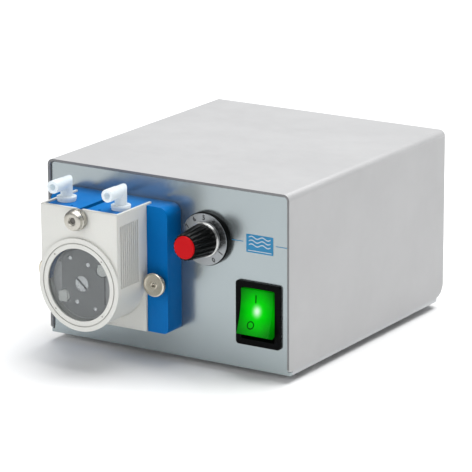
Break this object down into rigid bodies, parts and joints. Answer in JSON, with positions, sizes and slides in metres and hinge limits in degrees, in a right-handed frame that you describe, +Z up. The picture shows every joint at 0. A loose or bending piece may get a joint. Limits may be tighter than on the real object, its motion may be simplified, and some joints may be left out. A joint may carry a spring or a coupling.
{
  "type": "peristaltic pump",
  "caption": "Bench peristaltic pump: light grey sheet case, blue and white pump head with a windowed rotor, elbow hose connectors, speed knob and lit mains rocker switch.",
  "frame": {"origin": "centre of the bounding box's underside, on the surface that the feet stand on", "axes": "+X to the right seen from the front, +Y from the pump head to the rear panel, +Z up"},
  "size_m": [0.14, 0.196, 0.094],
  "materials": {
    "cover_paint": "fine textured light grey powder coat",
    "tray_steel": "light grey coated steel",
    "panel_aluminium": "satin silver-grey anodised",
    "blue_plastic": "semi-gloss moulded blue",
    "shell_white": "warm white moulded",
    "clear_acrylic": "polished clear",
    "rotor_light_grey": "moulded grey",
    "rotor_grey": "moulded mid grey",
    "roller_white": "turned acetal",
    "tube_rubber": "translucent natural",
    "connector_natural": "translucent natural polypropylene",
    "nickel": "satin nickel plate",
    "steel": "bright",
    "brass": "turned",
    "gearbox_cast": "as cast",
    "gear_acetal": "natural acetal",
    "black_plastic": "black moulded",
    "knob_black": "black moulded",
    "dial_metal": "radially brushed",
    "chrome_ring": "polished",
    "cap_red": "semi-gloss red",
    "rocker_green": "lit translucent green",
    "foot_rubber": "light grey",
    "contact_metal": "tinned",
    "fuse_glass": "clear",
    "board_green": "solder mask",
    "zinc_case": "zinc plated",
    "motor_steel": "zinc plated"
  },
  "bodies": {
    "case": {"base_tray": "tray_steel", "cover": "cover_paint", "front_panel": "panel_aluminium", "rear_panel": "panel_aluminium", "feet": "foot_rubber", "foot_screws": "steel", "cover_screws": "steel", "head_flange": "blue_plastic", "inner_block_left": "blue_plastic", "inner_block_right": "blue_plastic", "pump_housing": "shell_white", "window_ring": "shell_white", "window": "clear_acrylic", "pump_tube": "tube_rubber", "elbow_left": "connector_natural", "elbow_right": "connector_natural", "clamp_pivot_pin": "steel", "shaft_bushings": "brass", "gearbox_housing": "gearbox_cast", "gearbox_cover": "gearbox_cast", "gearbox_screws": "steel", "motor": "motor_steel", "dial_base": "knob_black", "potentiometer": "zinc_case", "pot_nut": "steel", "switch_housing": "black_plastic", "switch_pivot_pin": "steel", "switch_terminals": "contact_metal", "power_inlet": "black_plastic", "inlet_blades": "contact_metal", "control_board": "board_green", "board_posts": "brass", "power_supply": "zinc_case"},
    "rotor": {"rotor_body": "rotor_light_grey", "rotor_cap": "rotor_grey", "rotor_screw": "steel", "cap_screws": "steel", "roller_pins": "steel", "drive_shaft": "steel", "drive_gear": "gear_acetal"},
    "press_roller_1": {"roller_1": "roller_white"},
    "press_roller_2": {"roller_2": "roller_white"},
    "guide_1": {"guide_roller_1": "roller_white"},
    "guide_2": {"guide_roller_2": "roller_white"},
    "pinion": {"motor_pinion": "brass", "motor_shaft": "steel"},
    "swing_bolt": {"clamp_bolt": "nickel"},
    "bolt_nut": {"clamp_nut": "nickel"},
    "thumb_left": {"thumb_screw_left": "nickel"},
    "thumb_right": {"thumb_screw_right": "nickel"},
    "knob": {"dial_plate": "dial_metal", "knob_collar": "chrome_ring", "knob_body": "knob_black", "knob_cap": "cap_red", "pot_shaft": "steel"},
    "rocker": {"switch_rocker": "rocker_green"},
    "drawer": {"fuse_drawer": "black_plastic", "fuse": "fuse_glass"}
  },
  "joints": [
    {"name": "rotor_spin", "type": "hinge", "parent": "case", "child": "rotor", "pos_m": [-0.0262, -0.08, 0.0445], "axis": [0, 1, 0], "continuous": true},
    {"name": "roller_1_spin", "type": "hinge", "parent": "rotor", "child": "press_roller_1", "pos_m": [-0.03331, -0.079, 0.05633], "axis": [0, 1, 0], "continuous": true},
    {"name": "roller_2_spin", "type": "hinge", "parent": "rotor", "child": "press_roller_2", "pos_m": [-0.01909, -0.079, 0.03267], "axis": [0, 1, 0], "continuous": true},
    {"name": "guide_1_spin", "type": "hinge", "parent": "rotor", "child": "guide_1", "pos_m": [-0.01522, -0.079, 0.05219], "axis": [0, 1, 0], "continuous": true},
    {"name": "guide_2_spin", "type": "hinge", "parent": "rotor", "child": "guide_2", "pos_m": [-0.03718, -0.079, 0.03681], "axis": [0, 1, 0], "continuous": true},
    {"name": "pinion_spin", "type": "hinge", "parent": "case", "child": "pinion", "pos_m": [-0.0262, -0.036, 0.0625], "axis": [0, 1, 0], "continuous": true},
    {"name": "clamp_swing", "type": "hinge", "parent": "case", "child": "swing_bolt", "pos_m": [-0.0262, -0.0658, 0.0775], "axis": [-1, 0, 0], "range_deg": [0, 100]},
    {"name": "clamp_nut_turn", "type": "hinge", "parent": "swing_bolt", "child": "bolt_nut", "pos_m": [-0.0262, -0.095, 0.0775], "axis": [0, 1, 0], "continuous": true},
    {"name": "thumb_left_turn", "type": "hinge", "parent": "case", "child": "thumb_left", "pos_m": [-0.0555, -0.066, 0.0437], "axis": [0, 1, 0], "continuous": true},
    {"name": "thumb_right_turn", "type": "hinge", "parent": "case", "child": "thumb_right", "pos_m": [0.0031, -0.066, 0.0437], "axis": [0, 1, 0], "continuous": true},
    {"name": "knob_turn", "type": "hinge", "parent": "case", "child": "knob", "pos_m": [0.0236, -0.061, 0.0664], "axis": [0, 1, 0], "range_deg": [-150, 150]},
    {"name": "rocker_press", "type": "hinge", "parent": "case", "child": "rocker", "pos_m": [0.0525, -0.0512, 0.0323], "axis": [1, 0, 0], "range_deg": [0, 24]},
    {"name": "fuse_drawer_slide", "type": "slide", "parent": "case", "child": "drawer", "axis": [0, 1, 0], "range_m": [0, 0.014]}
  ],
  "couplings": [
    {"joint": "roller_1_spin", "follows": "rotor_spin", "ratio": -6.52},
    {"joint": "roller_2_spin", "follows": "rotor_spin", "ratio": -6.52},
    {"joint": "guide_1_spin", "follows": "rotor_spin", "ratio": -5.7857},
    {"joint": "guide_2_spin", "follows": "rotor_spin", "ratio": -5.7857},
    {"joint": "pinion_spin", "follows": "rotor_spin", "ratio": -4}
  ]
}
